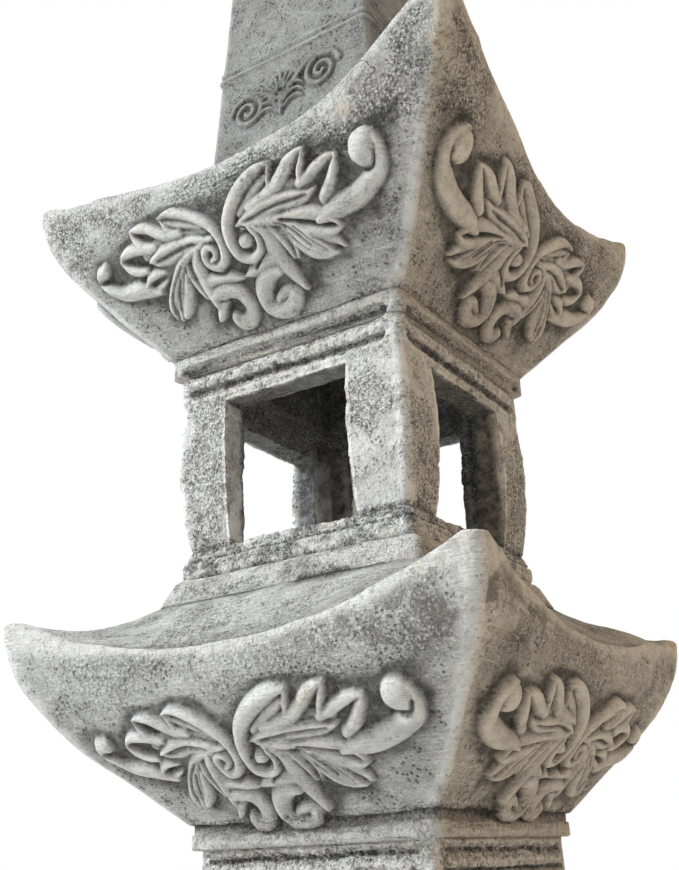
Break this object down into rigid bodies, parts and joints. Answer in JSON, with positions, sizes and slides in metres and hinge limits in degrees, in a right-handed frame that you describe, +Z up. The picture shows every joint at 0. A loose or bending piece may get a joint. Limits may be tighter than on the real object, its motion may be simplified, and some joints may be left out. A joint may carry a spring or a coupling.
{
  "type": "stone garden lantern",
  "caption": "Tall stacked garden lantern of cast stone with open lit chambers under flared square roofs, a tapered block and a ball finial.",
  "frame": {"origin": "centre of the foot slab's underside, on the ground", "axes": "+Z up the stack; the windows face along X and Y; -Y is the front"},
  "size_m": [0.468, 0.468, 1.7849],
  "materials": {
    "cast_stone": "weathered rough cast stone, pitted, grey with brown and dark patches",
    "dowel_steel": "dull drawn bar",
    "cup_aluminium": "thin pressed foil cup",
    "wax": "cream wax, slightly glossy",
    "wick": "waxed cotton"
  },
  "bodies": {
    "base": {"base_slab": "cast_stone", "base_dowel": "dowel_steel"},
    "pedestal": {"pedestal": "cast_stone", "pedestal_dowel_left": "dowel_steel", "pedestal_dowel_right": "dowel_steel"},
    "lower_firebox": {"lower_firebox": "cast_stone", "lower_firebox_dowel_left": "dowel_steel", "lower_firebox_dowel_right": "dowel_steel"},
    "lower_roof": {"lower_roof": "cast_stone", "lower_roof_dowel_left": "dowel_steel", "lower_roof_dowel_right": "dowel_steel"},
    "upper_firebox": {"upper_firebox": "cast_stone", "upper_firebox_dowel_left": "dowel_steel", "upper_firebox_dowel_right": "dowel_steel"},
    "upper_roof": {"upper_roof": "cast_stone", "upper_roof_dowel": "dowel_steel"},
    "spire": {"spire_block": "cast_stone", "spire_dowel": "dowel_steel"},
    "cap": {"spire_cap": "cast_stone", "cap_dowel": "dowel_steel"},
    "finial": {"finial": "cast_stone"},
    "lower_tealight": {"lower_tealight_cup": "cup_aluminium", "lower_tealight_wax": "wax", "lower_tealight_wick": "wick"},
    "upper_tealight": {"upper_tealight_cup": "cup_aluminium", "upper_tealight_wax": "wax", "upper_tealight_wick": "wick"}
  },
  "joints": [
    {"name": "pedestal_lift", "type": "slide", "parent": "base", "child": "pedestal", "axis": [0, 0, 1], "range_m": [0, 0.1]},
    {"name": "lower_firebox_lift", "type": "slide", "parent": "pedestal", "child": "lower_firebox", "axis": [0, 0, 1], "range_m": [0, 0.1]},
    {"name": "lower_roof_lift", "type": "slide", "parent": "lower_firebox", "child": "lower_roof", "axis": [0, 0, 1], "range_m": [0, 0.1]},
    {"name": "upper_firebox_lift", "type": "slide", "parent": "lower_roof", "child": "upper_firebox", "axis": [0, 0, 1], "range_m": [0, 0.1]},
    {"name": "upper_roof_lift", "type": "slide", "parent": "upper_firebox", "child": "upper_roof", "axis": [0, 0, 1], "range_m": [0, 0.1]},
    {"name": "spire_lift", "type": "slide", "parent": "upper_roof", "child": "spire", "axis": [0, 0, 1], "range_m": [0, 0.1]},
    {"name": "cap_lift", "type": "slide", "parent": "spire", "child": "cap", "axis": [0, 0, 1], "range_m": [0, 0.08]},
    {"name": "finial_lift", "type": "slide", "parent": "cap", "child": "finial", "axis": [0, 0, 1], "range_m": [0, 0.06]},
    {"name": "lower_tealight_lift", "type": "slide", "parent": "pedestal", "child": "lower_tealight", "axis": [0, 0, 1], "range_m": [0, 0.06]},
    {"name": "upper_tealight_lift", "type": "slide", "parent": "lower_roof", "child": "upper_tealight", "axis": [0, 0, 1], "range_m": [0, 0.06]}
  ]
}
